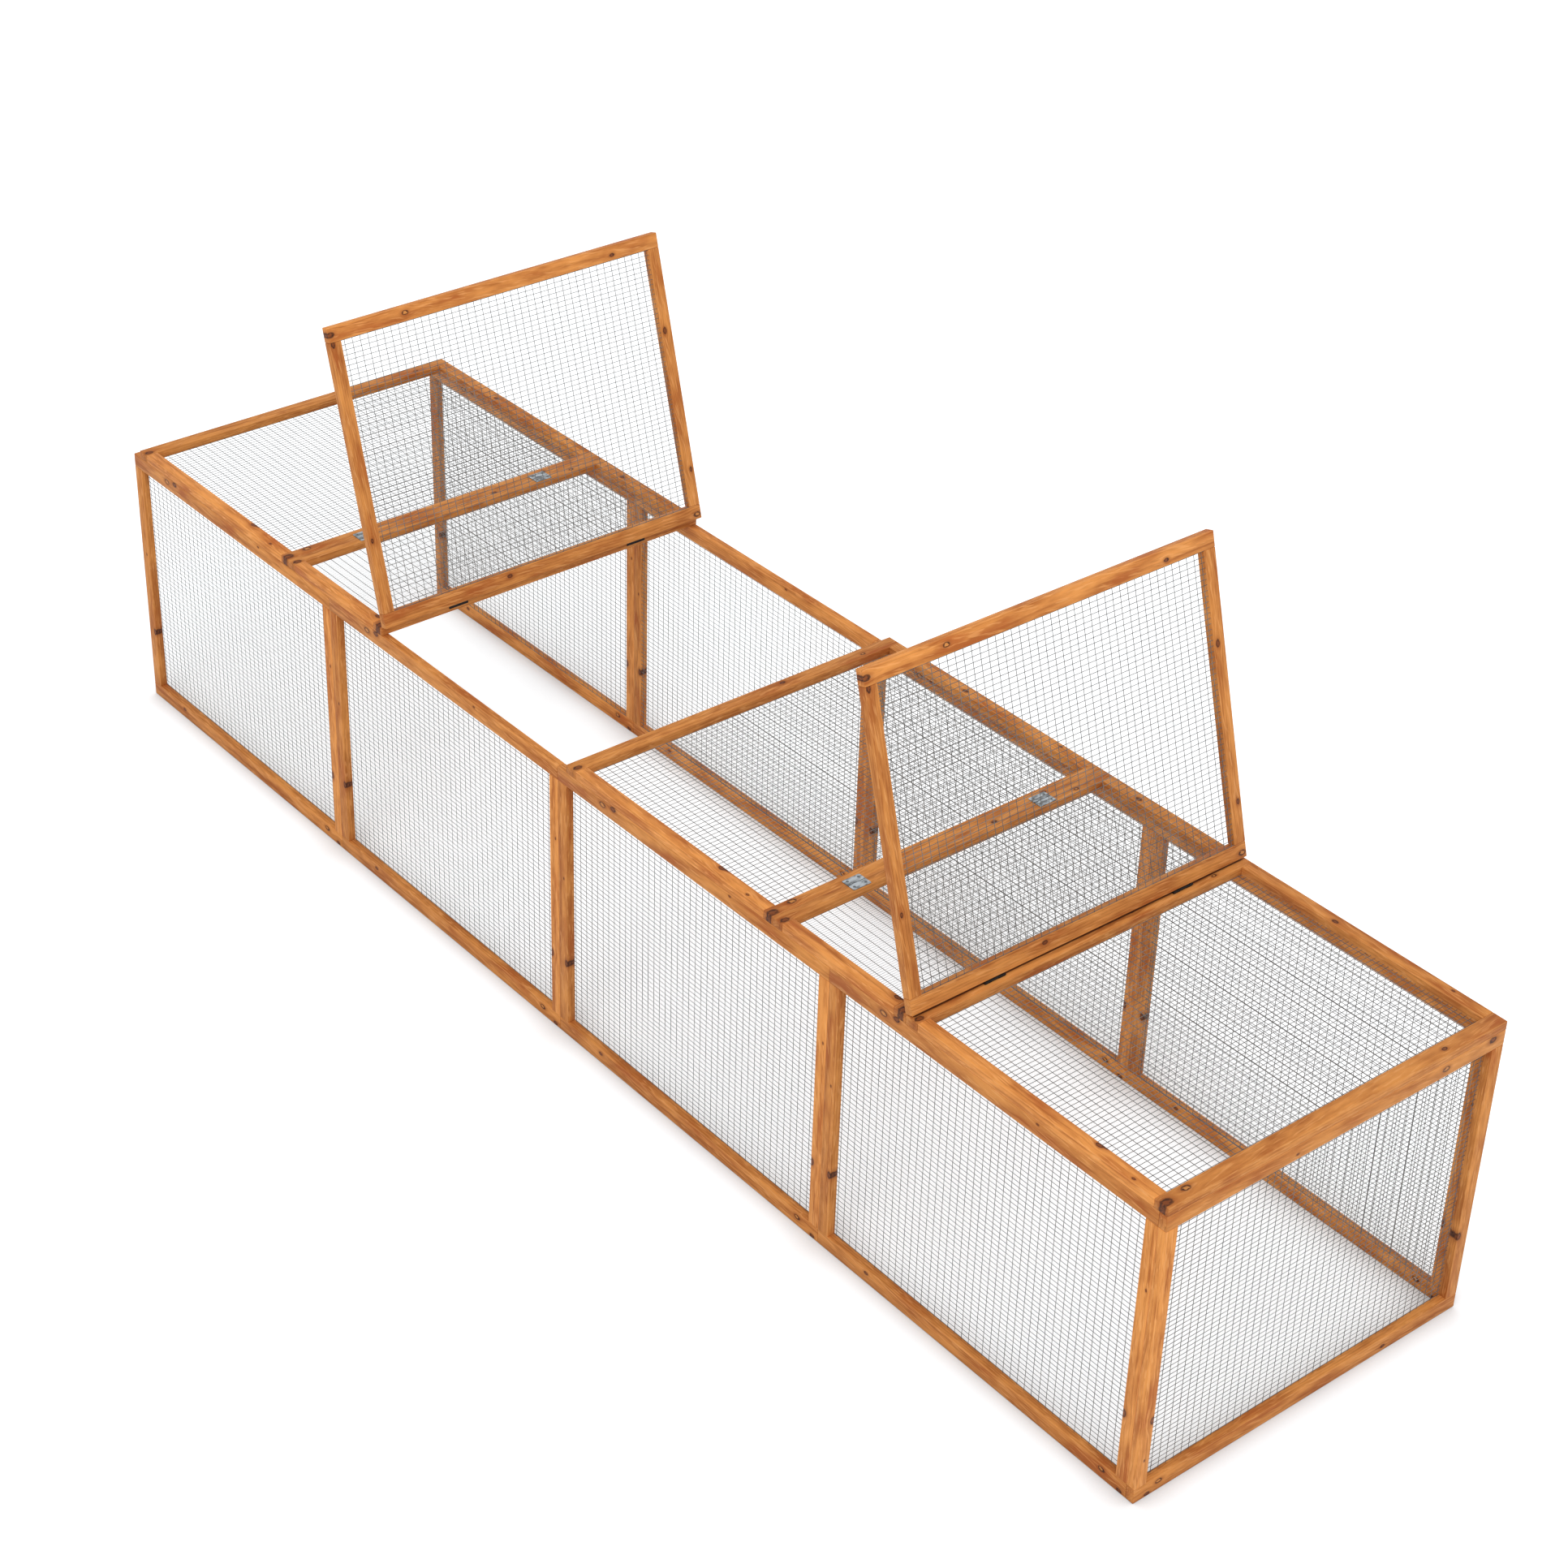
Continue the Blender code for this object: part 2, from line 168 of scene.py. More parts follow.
class Value:
    """One varying number; arithmetic on it adds Math nodes."""

    def __init__(self, nodes, socket):
        self.nodes = nodes
        self.socket = socket

    def __add__(self, other):
        return self.nodes.math("ADD", self, other)

    __radd__ = __add__

    def __sub__(self, other):
        return self.nodes.math("SUBTRACT", self, other)

    def __rsub__(self, other):
        return self.nodes.math("SUBTRACT", other, self)

    def __mul__(self, other):
        return self.nodes.math("MULTIPLY", self, other)

    __rmul__ = __mul__

    def __truediv__(self, other):
        return self.nodes.math("DIVIDE", self, other)

    def __rtruediv__(self, other):
        return self.nodes.math("DIVIDE", other, self)

    def __neg__(self):
        return self.nodes.math("MULTIPLY", self, -1.0)

    def __abs__(self):
        return self.nodes.math("ABSOLUTE", self)


class Nodes:
    """The nodes of a material or of the world, empty at first."""

    def __init__(self, tree):
        self.tree = tree
        tree.nodes.clear()

    def node(self, kind, settings=None, sockets=None, **named):
        """Add a node: its settings first, then its sockets' values or links."""
        made = self.tree.nodes.new(kind)
        for key, value in (settings or {}).items():
            setattr(made, key, value)
        for key, value in {**(sockets or {}), **named}.items():
            self.feed(made.inputs[key], value)
        return made

    def feed(self, target, value):
        """Set a socket to a number or colour, or link another value to it."""
        if isinstance(value, Value):
            value = value.socket
        if isinstance(value, bpy.types.NodeSocket):
            self.tree.links.new(value, target)
        else:
            target.default_value = value

    def math(self, operation, *values):
        """One step of arithmetic."""
        made = self.node("ShaderNodeMath", {"operation": operation},
                         dict(enumerate(values)))
        return Value(self, made.outputs[0])

    def seen(self):
        """1 for rays from the camera, a mirror or glass, 0 for light on its way."""
        path = self.node("ShaderNodeLightPath").outputs
        return self.math("MAXIMUM", path["Is Camera Ray"],
                         self.math("MAXIMUM", path["Is Glossy Ray"],
                                   path["Is Transmission Ray"]))


class Finish(Nodes):
    """A material being made, with one main shader."""

    def __init__(self, name):
        self.material = bpy.data.materials.new(name)
        self.material.use_nodes = True
        super().__init__(self.material.node_tree)
        self.shader = self.node("ShaderNodeBsdfPrincipled")
        self.node("ShaderNodeOutputMaterial", Surface=self.shader.outputs[0])

    def attribute(self, name):
        """A piece's own vector attribute, by name."""
        made = self.node("ShaderNodeAttribute", {"attribute_name": name})
        return made.outputs["Vector"]

    def split(self, vector):
        """A vector's three numbers."""
        made = self.node("ShaderNodeSeparateXYZ", None, {0: vector})
        return [Value(self, socket) for socket in made.outputs]

    def join(self, x, y, z):
        """Three numbers as one vector."""
        return self.node("ShaderNodeCombineXYZ", None, {0: x, 1: y, 2: z}).outputs[0]

    def object_place(self):
        """The place in the run, the same for every piece."""
        return self.node("ShaderNodeTexCoord").outputs["Object"]

    def scaled(self, vector, scale):
        """A vector or colour with each of its numbers scaled."""
        made = self.node("ShaderNodeVectorMath", {"operation": "MULTIPLY"},
                         {0: vector, 1: scale})
        return made.outputs[0]

    def noise(self, vector, scale=1.0, detail=2.0, roughness=0.5):
        """A soft random number between 0 and 1, about 0.5 on the whole."""
        made = self.node("ShaderNodeTexNoise", None,
                         {"Vector": vector, "Scale": scale, "Detail": detail,
                          "Roughness": roughness})
        return Value(self, made.outputs[0])

    def ease(self, value, low, high):
        """0 below low, 1 above high, smooth between."""
        made = self.node("ShaderNodeMapRange", {"interpolation_type": "SMOOTHSTEP"},
                         {0: value, 1: low, 2: high, 3: 0.0, 4: 1.0})
        return Value(self, made.outputs[0])

    def mix(self, share_of_second, first, second):
        """Blend two colours; a tuple of three is a colour in linear light."""
        first, second = (tuple(c) + (1.0,) if isinstance(c, tuple) else c
                         for c in (first, second))
        made = self.node("ShaderNodeMix", {"data_type": "RGBA", "clamp_factor": True},
                         {0: share_of_second, 6: first, 7: second})
        return made.outputs[2]

    def bump(self, height, strength, distance):
        """Let the main shader's light play over a height."""
        made = self.node("ShaderNodeBump", None,
                         {"Height": height, "Strength": strength, "Distance": distance})
        self.feed(self.shader.inputs["Normal"], made.outputs[0])

    def set(self, **values):
        """Give the main shader its values, by socket name."""
        for key, value in values.items():
            self.feed(self.shader.inputs[key.replace("_", " ")], value)


def toned(colour_of, *factors):
    """A colour lightened or darkened by one factor, or by one for each channel."""
    factors = factors * 3 if len(factors) == 1 else factors
    return tuple(min(1.0, a * b) for a, b in zip(colour_of, factors))


KNOTS = ("knot_a", "knot_b", "knot_c")
NO_KNOT = (9.0, 0.0, 0.001)  # far off the batten's end
NO_SLIT_SHADE = (0.0, 0.0, 0.0)


def knot_marks(finish, x, y, rough):
    """Bend the grain round a batten's knots, and mark them.

    Returns the place across the batten as the bent grain has it, and how far a
    point is in a knot's core, on its dark rim, in its halo and in its pale heart.
    """
    bent = y
    marks = None
    for name in KNOTS:
        knot_x, knot_y, knot_size = finish.split(finish.attribute(name))
        size = abs(knot_size)
        along = (x - knot_x) * 0.60  # knots are longer along the grain
        across = y - knot_y
        away = finish.math("SQRT", along * along + across * across) / size + rough * 1.1
        pull = finish.math("EXPONENT", -(away * away * 0.15))
        bent = bent - across * pull * 0.8
        inside = 1.0 - finish.ease(away, 0.62, 1.0)
        ring = 1.0 - finish.ease(abs(away - 0.86), 0.06, 0.42)
        halo = 1.0 - finish.ease(away, 0.8, 2.6)
        pale_heart = inside * finish.math("LESS_THAN", knot_size, 0.0)
        found = (inside, ring, halo, pale_heart)
        marks = found if marks is None else [finish.math("MAXIMUM", *pair)
                                             for pair in zip(marks, found)]
    return bent, marks


def timber_finish():
    """Planed softwood under a warm orange brown stain.

    Every batten carries its own place, half size, tone, random draws, painted shade
    for the gap under a lid and knots as attributes, so the grain runs along it and bends round
    its knots.
    """
    sizes = bpy.context.scene.run_timber
    pale, deep, knot = (tuple(c) for c in (sizes.pale, sizes.deep, sizes.knot))
    finish = Finish("stained timber")
    x, y, z = finish.split(finish.attribute("place"))
    reach, breadth, depth = finish.split(finish.attribute("half"))
    draw_1, draw_2, draw_3 = finish.split(finish.attribute("draws"))
    rough = finish.noise(finish.join(x * 170.0, y * 280.0, z * 280.0)) - 0.5
    bent, (core, rim, halo, heart) = knot_marks(finish, x, y, rough)

    # Each batten reads its own stretch of the pattern
    far_along = x + draw_1 * 37.0

    def drawn_out(along, across, place=bent, **settings):
        """Noise drawn out along the grain, by how often it turns each way."""
        return finish.noise(
            finish.join(far_along * along, place * across, z * across), **settings)

    # Year rings lie round a pith below the batten, which sways along its length
    sway = finish.noise(finish.join(far_along * 2.4, draw_2 * 9.0, 0.0), detail=1.0)
    pith_y = (draw_2 - 0.5) * 0.052 + (sway - 0.5) * 0.034
    pith_z = -0.012 - draw_3 * 0.034
    off_y = bent - pith_y
    off_z = z - pith_z
    radius = finish.math("SQRT", off_y * off_y + off_z * off_z)
    ripple = drawn_out(9.0, 90.0) - 0.5
    band = finish.math("FRACT", (radius + ripple * 0.0034) / (0.0042 + draw_3 * 0.0034))
    late = finish.ease(band, 0.25, 0.85) * (1.0 - finish.ease(band, 0.85, 1.0))
    line = finish.ease(band, 0.74, 0.90) * (1.0 - finish.ease(band, 0.92, 0.99))

    # Fibres, dark streaks and figure, soft blotches, pale strokes and dark flecks
    fibre = drawn_out(16.0, 900.0)
    streak = drawn_out(4.5, 85.0)
    figure = drawn_out(20.0, 95.0, detail=3.0, roughness=0.6)
    blotch = drawn_out(8.0, 30.0, roughness=0.6)
    slant = bent + x * 0.10
    stroke = finish.ease(drawn_out(28.0, 300.0, slant, detail=1.0), 0.56, 0.70)
    fleck = finish.ease(drawn_out(50.0, 800.0, detail=1.0), 0.60, 0.76)

    shade = (late * 0.15 + line * (streak * 0.80 - 0.08) + (fibre - 0.5) * 0.35
             + (streak - 0.45) * 0.85 + (figure - 0.5) * 1.55 + (blotch - 0.45) * 2.2
             + fleck * 0.20 + (draw_1 - 0.5) * 0.12 + 0.22)
    wood = finish.mix(shade, pale, deep)
    wood = finish.mix(finish.ease(blotch, 0.52, 0.78) * 0.5, wood,
                      toned(deep, 1.10, 0.80, 0.72))
    light = toned(pale, 1.12, 1.28, 1.70)
    wood = finish.mix(stroke * (0.95 - blotch * 0.8), wood, light)

    # Edges pale as a painted highlight along the arrises, end grain dark
    arris_highlight = 1.0 - finish.ease(
        finish.math("MAXIMUM", breadth - abs(y), depth - abs(z)), 0.0002, 0.0016)
    wood = finish.mix(arris_highlight * (0.34 + (streak - 0.5) * 0.9), wood, light)
    end_grain = finish.ease(abs(x), reach - 0.0009, reach - 0.0003)
    wood = finish.mix(end_grain * 0.12, wood, deep)

    brown = toned(deep, 0.72, 0.55, 0.55)
    wood = finish.mix(halo * (0.55 + rough * 1.1), wood, brown)
    wood = finish.mix(core * 0.85, wood,
                      tuple((a + b) / 2 for a, b in zip(brown, knot)))
    wood = finish.mix(heart * 0.75, wood, pale)
    wood = finish.mix(rim * (0.92 + rough * 1.4), wood, knot)

    # Painted shade: dark where the gap under a lid lies in shadow, but for the batten's ends
    shade_to, shade_strength, face = finish.split(finish.attribute("slit_shade"))
    slit_shade = (finish.ease(shade_to - breadth - y, -0.0010, 0.0010)
            * finish.ease(z * face, 0.0, 0.001)
            * finish.ease(reach - abs(x), 0.004, 0.010))
    wood = finish.mix(slit_shade * shade_strength, wood, knot)
    wood = finish.scaled(wood, finish.attribute("tone"))
    finish.set(Base_Color=wood, Specular_IOR_Level=0.22,
               Roughness=0.52 + fibre * 0.16 + late * 0.06 - core * 0.08)
    height = fibre * 0.5 + (1.0 - late) * 0.35 - core * 0.6 + streak * 0.3
    finish.bump(height, 0.35, 0.0004)
    return finish.material


def net_finish():
    """Dull galvanised wire, with darker and brighter stretches."""
    zinc = tuple(bpy.context.scene.run_net.zinc)
    finish = Finish("galvanised net")
    place = finish.object_place()
    drift = finish.noise(place, 34.0, 2.0)
    grain = finish.noise(place, 620.0, 2.0)
    tone = finish.mix(finish.ease(drift, 0.36, 0.66), toned(zinc, 0.72),
                      toned(zinc, 1.3))
    tone = finish.mix(finish.ease(grain, 0.45, 0.75) * 0.5, tone, zinc)
    finish.set(Base_Color=tone, Roughness=0.50 + grain * 0.25, Metallic=0.25)
    finish.bump(grain, 0.25, 0.0001)
    return finish.material


def plate_finish():
    """Bright zinc plate with cloudy spangle, and painted shade down its sides and in its groove.
    """
    zinc = tuple(bpy.context.scene.run_fittings.zinc)
    finish = Finish("zinc plate")
    place = finish.object_place()
    brush = finish.noise(finish.scaled(place, (90.0, 2600.0, 700.0)), 1.0, 3.0)
    cloud = finish.noise(finish.scaled(place, (150.0, 70.0, 150.0)), 1.0, 3.0)
    low = finish.split(finish.attribute("low"))[0]
    tone = finish.mix(finish.ease(cloud, 0.36, 0.64) + (brush - 0.5) * 0.6,
                      toned(zinc, 0.36), toned(zinc, 1.12))
    # Painted shade: darker the deeper a point lies below the plate's top, in the groove and down
    # the sides
    tone = finish.mix(finish.ease(low, 0.25, 0.9), tone, toned(zinc, 0.10))
    finish.set(Base_Color=tone, Roughness=0.34 + brush * 0.22 + cloud * 0.10,
               Metallic=0.55)
    finish.bump(brush, 0.2, 0.0001)
    return finish.material


def screw_finish():
    """Duller zinc for the screws, with painted shade in their cross slots."""
    zinc = tuple(bpy.context.scene.run_fittings.zinc)
    finish = Finish("screw zinc")
    low = finish.split(finish.attribute("low"))[0]
    grain = finish.noise(finish.object_place(), 900.0, 2.0)
    tone = finish.mix(grain, toned(zinc, 0.25), toned(zinc, 0.62))
    # Painted shade in the slots
    tone = finish.mix(low, tone, toned(zinc, 0.05))
    finish.set(Base_Color=tone, Roughness=0.36 + grain * 0.2, Metallic=0.7)
    return finish.material


def hinge_finish():
    """Black paint on small steel hinges, rubbed a little grey in places."""
    black = tuple(bpy.context.scene.run_fittings.black)
    finish = Finish("black steel")
    place = finish.object_place()
    grain = finish.noise(place, 700.0, 3.0)
    rubbed = finish.noise(place, 120.0, 3.0)
    tone = finish.mix(finish.ease(rubbed, 0.55, 0.8) * 0.35, black, toned(black, 3.0))
    finish.set(Base_Color=tone, Roughness=0.52 + grain * 0.22, Specular_IOR_Level=0.2)
    finish.bump(grain, 0.15, 0.0001)
    return finish.material


FINISHES = {"timber": timber_finish, "net": net_finish, "plate": plate_finish,
            "screw": screw_finish, "hinge": hinge_finish}
made_finishes = {}


def finish_of(kind):
    """The material of a kind, made once and kept."""
    if kind not in made_finishes:
        made_finishes[kind] = FINISHES[kind]()
    return made_finishes[kind]


# Making and placing pieces

def put(name, shape, material, body, slot, *nodes):
    """Turn a finished shape into a piece on a body, in place of the nodes named."""
    bmesh.ops.recalc_face_normals(shape, faces=shape.faces)
    mesh = bpy.data.meshes.new(name)
    shape.to_mesh(mesh)
    shape.free()
    if not mesh.polygons:
        raise RuntimeError(f"{name} came out empty")
    piece = bpy.data.objects.new(name, mesh)
    bpy.context.scene.collection.objects.link(piece)
    mesh.materials.append(material)
    mesh.shade_smooth()
    mesh.set_sharp_from_angle(angle=SHARP_FROM)
    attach(piece, body)
    if nodes:
        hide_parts(*nodes)


def lid_turn(lid):
    """The move from a lid's closed place to where it stands open."""
    joint = next(j for j in frame["joints"] if j["child"] == lid)
    pin = Matrix.Translation(Vector(joint["pos_m"]))
    swing = Matrix.Rotation(-math.radians(joint["range_deg"][1]), 4,
                            Vector(joint["axis"]))
    return pin @ swing @ pin.inverted()


def closed_box(node, turn):
    """The lowest and highest corner of a lid's node, with the lid closed."""
    back = turn.inverted()
    points = [back @ v.co for v in frame["nodes"][node].data.vertices]
    return (Vector(min(p[i] for p in points) for i in range(3)),
            Vector(max(p[i] for p in points) for i in range(3)))


def add_box(shape, low, high):
    """Add a box between two corners and return its vertices."""
    middle, size = (low + high) / 2, high - low
    matrix = Matrix.Translation(middle) @ Matrix.Diagonal((*size, 1.0))
    return bmesh.ops.create_cube(shape, size=1.0, matrix=matrix)["verts"]


def add_batten(shape, low, high, along, deep, draws, look):
    """Add one batten with rounded edges and its grain attributes.

    The grain runs along one axis, and deep is the axis of the batten's thickness.
    look is the batten's entry in one of the tables of looks.
    """
    arris = bpy.context.scene.run_timber.arris
    before = set(shape.verts)
    verts = add_box(shape, low, high)
    edges = list({e for v in verts for e in v.link_edges})
    bmesh.ops.bevel(shape, geom=edges, offset=arris, offset_type="OFFSET", segments=2,
                    profile=0.5, affect="EDGES", clamp_overlap=True, material=-1)
    across = 3 - along - deep
    middle, half = (low + high) / 2, (high - low) / 2
    layers = shape.verts.layers.float_vector
    # A look's third entry, if any, is the painted shade of the gap under a lid
    tone, knots, slit_shade = look if len(look) == 3 else (*look, NO_SLIT_SHADE)
    steady = {"half": Vector((half[along], half[across], half[deep])),
              "tone": Vector((tone, tone, tone)), "draws": Vector(draws),
              "slit_shade": Vector(slit_shade)}
    for index, name in enumerate(KNOTS):
        steady[name] = Vector(knots[index] if index < len(knots) else NO_KNOT)
    for vert in shape.verts:
        if vert not in before:
            offset = vert.co - middle
            vert[layers["place"]] = (offset[along], offset[across], offset[deep])
            for name, value in steady.items():
                vert[layers[name]] = value


def batten_shape():
    """An empty shape with the layers that the timber finish reads."""
    shape = bmesh.new()
    for name in ("place", "half", "tone", "draws", "slit_shade", *KNOTS):
        shape.verts.layers.float_vector.new(name)
    return shape


def dice(source):
    """Three random draws for a batten's grain."""
    return [source.random() for _ in range(3)]


def frame_shape(low, high, deep, rails, rail_widths, stile_widths, looks, source):
    """Four battens: two rails that run the whole way, and two stiles between them.

    rails is the axis along which the rails run. Widths are given for the low and
    the high one, and looks is a dictionary of the four battens' tones and knots.
    """
    gap = bpy.context.scene.run_timber.joint_gap
    shape = batten_shape()
    up = 3 - rails - deep
    for end in (0, 1):
        start, stop = low.copy(), high.copy()
        if end == 0:
            stop[up] = low[up] + rail_widths[0]
        else:
            start[up] = high[up] - rail_widths[1]
        add_batten(shape, start, stop, rails, deep, dice(source), looks[f"rail_{end}"])
    for end in (0, 1):
        start, stop = low.copy(), high.copy()
        start[up] += rail_widths[0] + gap
        stop[up] -= rail_widths[1] + gap
        if end == 0:
            stop[rails] = low[rails] + stile_widths[0]
        else:
            start[rails] = high[rails] - stile_widths[1]
        add_batten(shape, start, stop, up, deep, dice(source), looks[f"stile_{end}"])
    return shape


# The looks of each batten: how pale it came out under the stain, and its knots.
# A knot is given from the batten's middle as (along, across, radius); a radius
# below nothing makes a knot with a pale heart. A batten at the gap under a lid
# has a third entry, a painted shade for the gap's shadow: how far in from its
# low edge it is dark, how dark, and on which face, 1.0 for the upper one and
# -1.0 for the lower one.
SIDE_LOOKS = {
    "rail_0": (0.97, ((0.327, 0.004, -0.0042), (-0.253, 0.006, 0.0030),
                      (0.368, -0.010, 0.0034))),
    "rail_1": (0.99, ((-0.246, 0.004, -0.0046), (-0.214, 0.010, 0.0044),
                      (0.118, 0.009, 0.0018))),
    "stile_0": (0.98, ((-0.130, 0.010, 0.0044), (0.060, 0.004, 0.0015))),
    "stile_1": (1.16, ((-0.130, -0.010, 0.0046), (0.135, 0.005, 0.0016))),
}
# The far side's rails are made paler, a painted light that lifts them in the run's shade
FAR_SIDE_LOOKS = {**SIDE_LOOKS,
                  "rail_0": (1.12, SIDE_LOOKS["rail_0"][1]),
                  "rail_1": (1.07, SIDE_LOOKS["rail_1"][1])}
END_LOOKS = {
    "rail_0": (0.97, ((-0.327, 0.004, -0.0042), (-0.352, -0.010, 0.0034),
                      (0.200, -0.004, 0.0030))),
    "rail_1": (0.99, ((0.241, 0.001, -0.0046), (0.352, 0.008, 0.0050),
                      (-0.100, -0.004, 0.0018))),
    "stile_0": (1.16, ((-0.128, 0.010, 0.0046), (-0.210, 0.002, 0.0015))),
    "stile_1": (0.98, ((-0.128, -0.010, 0.0046),)),
}
ROOF_LOOKS = {
    "rail_0": (0.93, ((-0.372, 0.006, 0.0050), (0.110, -0.005, 0.0034),
                      (0.300, 0.004, -0.0030))),
    "rail_1": (0.98, ((-0.376, 0.002, 0.0070), (-0.328, -0.004, -0.0050),
                      (0.245, 0.002, 0.0034))),
    "stile_0": (1.18, ((0.128, 0.008, 0.0042), (0.138, 0.012, 0.0032),
                       (0.216, -0.006, 0.0022))),
    "stile_1": (0.98, ((-0.060, -0.004, 0.0036), (0.190, 0.005, 0.0020))),
}
# The fifth roof frame's first rail has painted shade where the second lid's edge overhangs and
# shadows it
LAST_ROOF_LOOKS = {**ROOF_LOOKS, "rail_0": (*ROOF_LOOKS["rail_0"], (0.0134, 0.80, 1.0))}
LID_LOOKS = {
    # The hinge rail's lower face has painted shade along its low edge, over the gap
    "hinge_rail": (0.95, ((-0.090, 0.004, 0.0036), (0.372, -0.004, -0.0046)),
                   (0.0004, 0.60, -1.0)),
    "lift_rail": (1.16, ((-0.212, 0.002, -0.0040), (0.270, -0.004, 0.0032),
                         (-0.378, 0.0, 0.0050))),
    "near_stile": (1.0, ((0.262, -0.006, 0.0040), (-0.120, -0.005, 0.0028))),
    "far_stile": (1.03, ((0.100, -0.004, 0.0040), (-0.190, 0.005, 0.0030))),
}


def roof_rails(sizes):
    """Each roof frame's number with the widths of its two rails."""
    rail, joint, end = sizes.roof_rail, sizes.joint_rail, sizes.end_rail
    return zip(ROOF_PANELS, ((rail, joint), (joint, rail), (rail, joint), (joint, rail),
                             (rail, end)))


class RUN_OT_side_frames(bpy.types.Operator):
    """Make the eight framed side panels' battens"""
    bl_idname = "run.side_frames"
    bl_label = "Side frames"

    def execute(self, context):
        sizes = context.scene.run_timber
        for side, looks in zip(SIDES, (SIDE_LOOKS, FAR_SIDE_LOOKS)):
            for number in SIDE_PANELS:
                node = f"{side}_side_frame_{number}"
                low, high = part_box(node)
                shape = frame_shape(low, high, Y, X, (sizes.side_rail,) * 2,
                                    (sizes.side_stile,) * 2, looks,
                                    random.Random(node))
                put(f"{node}_battens", shape, finish_of("timber"), "root",
                    "stained_timber", node)
        return {"FINISHED"}


class RUN_OT_end_frame(bpy.types.Operator):
    """Make the battens of the panel that closes the run's end"""
    bl_idname = "run.end_frame"
    bl_label = "End frame"

    def execute(self, context):
        sizes = context.scene.run_timber
        low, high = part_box("end_frame")
        shape = frame_shape(low, high, X, Y, (sizes.side_rail,) * 2,
                            (sizes.end_stile,) * 2, END_LOOKS, random.Random("end"))
        put("end_frame_battens", shape, finish_of("timber"), "root", "stained_timber",
            "end_frame")
        return {"FINISHED"}


class RUN_OT_roof_frames(bpy.types.Operator):
    """Make the battens of the five frames laid on top as the roof"""
    bl_idname = "run.roof_frames"
    bl_label = "Roof frames"

    def execute(self, context):
        sizes = context.scene.run_timber
        for number, pair in roof_rails(sizes):
            node = f"roof_frame_{number}"
            low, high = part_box(node)
            looks = LAST_ROOF_LOOKS if number == ROOF_PANELS[-1] else ROOF_LOOKS
            shape = frame_shape(low, high, Z, Y, pair, (sizes.roof_stile,) * 2,
                                looks, random.Random(node))
            put(f"{node}_battens", shape, finish_of("timber"), "root",
                "stained_timber", node)
        return {"FINISHED"}


class RUN_OT_lid_frames(bpy.types.Operator):
    """Make the four battens of each of the two lids"""
    bl_idname = "run.lid_frames"
    bl_label = "Lid frames"

    def execute(self, context):
        for lid in LIDS:
            turn = lid_turn(lid)
            for part, look in LID_LOOKS.items():
                node = f"{lid}_{part}"
                low, high = closed_box(node, turn)
                shape = batten_shape()
                along = Y if part.endswith("rail") else X
                add_batten(shape, low, high, along, Z, dice(random.Random(node)), look)
                bmesh.ops.transform(shape, matrix=turn, verts=shape.verts)
                put(f"{node}_batten", shape, finish_of("timber"), lid,
                    "stained_timber", node)
        return {"FINISHED"}


# Nets

WIRE_SIDES = 6


def add_wire(shape, start, stop, radius):
    """Add one straight wire with closed ends."""
    line = stop - start
    matrix = (Matrix.Translation((start + stop) / 2)
              @ line.to_track_quat("Z", "Y").to_matrix().to_4x4())
    bmesh.ops.create_cone(shape, cap_ends=True, cap_tris=False, segments=WIRE_SIDES,
                          radius1=radius, radius2=radius, depth=line.length,
                          matrix=matrix)


def spread(low, high, pitch):
    """Places at a pitch between two ends, with an equal margin at each."""
    count = int((high - low) / pitch)
    first = (low + high - count * pitch) / 2
    return [first + pitch * step for step in range(count + 1)]


def net_shape(low, high, deep, inward, pitches, wires):
    """Two layers of crossing wires in a frame's window.

    low and high are the window's corners in a frame. inward is +1 or -1, the way
    from the frame's outer face to the inner one that the net lies just within.
    pitches and wires hold the distance between wires along each axis, and how
    thick those wires are.
    """
    sizes = bpy.context.scene.run_net
    first, second = [axis for axis in (X, Y, Z) if axis != deep]
    level = (high[deep] if inward > 0 else low[deep]) - inward * sizes.inset
    shape = bmesh.new()
    for runs, steps in ((first, second), (second, first)):
        radius = wires[steps] / 2
        for place in spread(low[steps] + radius, high[steps] - radius, pitches[steps]):
            start, stop = low.copy(), high.copy()
            start[runs] -= sizes.let_in
            stop[runs] += sizes.let_in
            for end in (start, stop):
                end[steps] = place
                end[deep] = level - inward * radius
            add_wire(shape, start, stop, radius)
        level -= inward * (2 * radius - sizes.weld)
    return shape


def window(node, deep, rails, rail_widths, stile_width):
    """The corners of the hole between a frame's battens."""
    low, high = (corner.copy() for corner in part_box(node))
    up = 3 - rails - deep
    low[up] += rail_widths[0]
    high[up] -= rail_widths[1]
    low[rails] += stile_width
    high[rails] -= stile_width
    return low, high


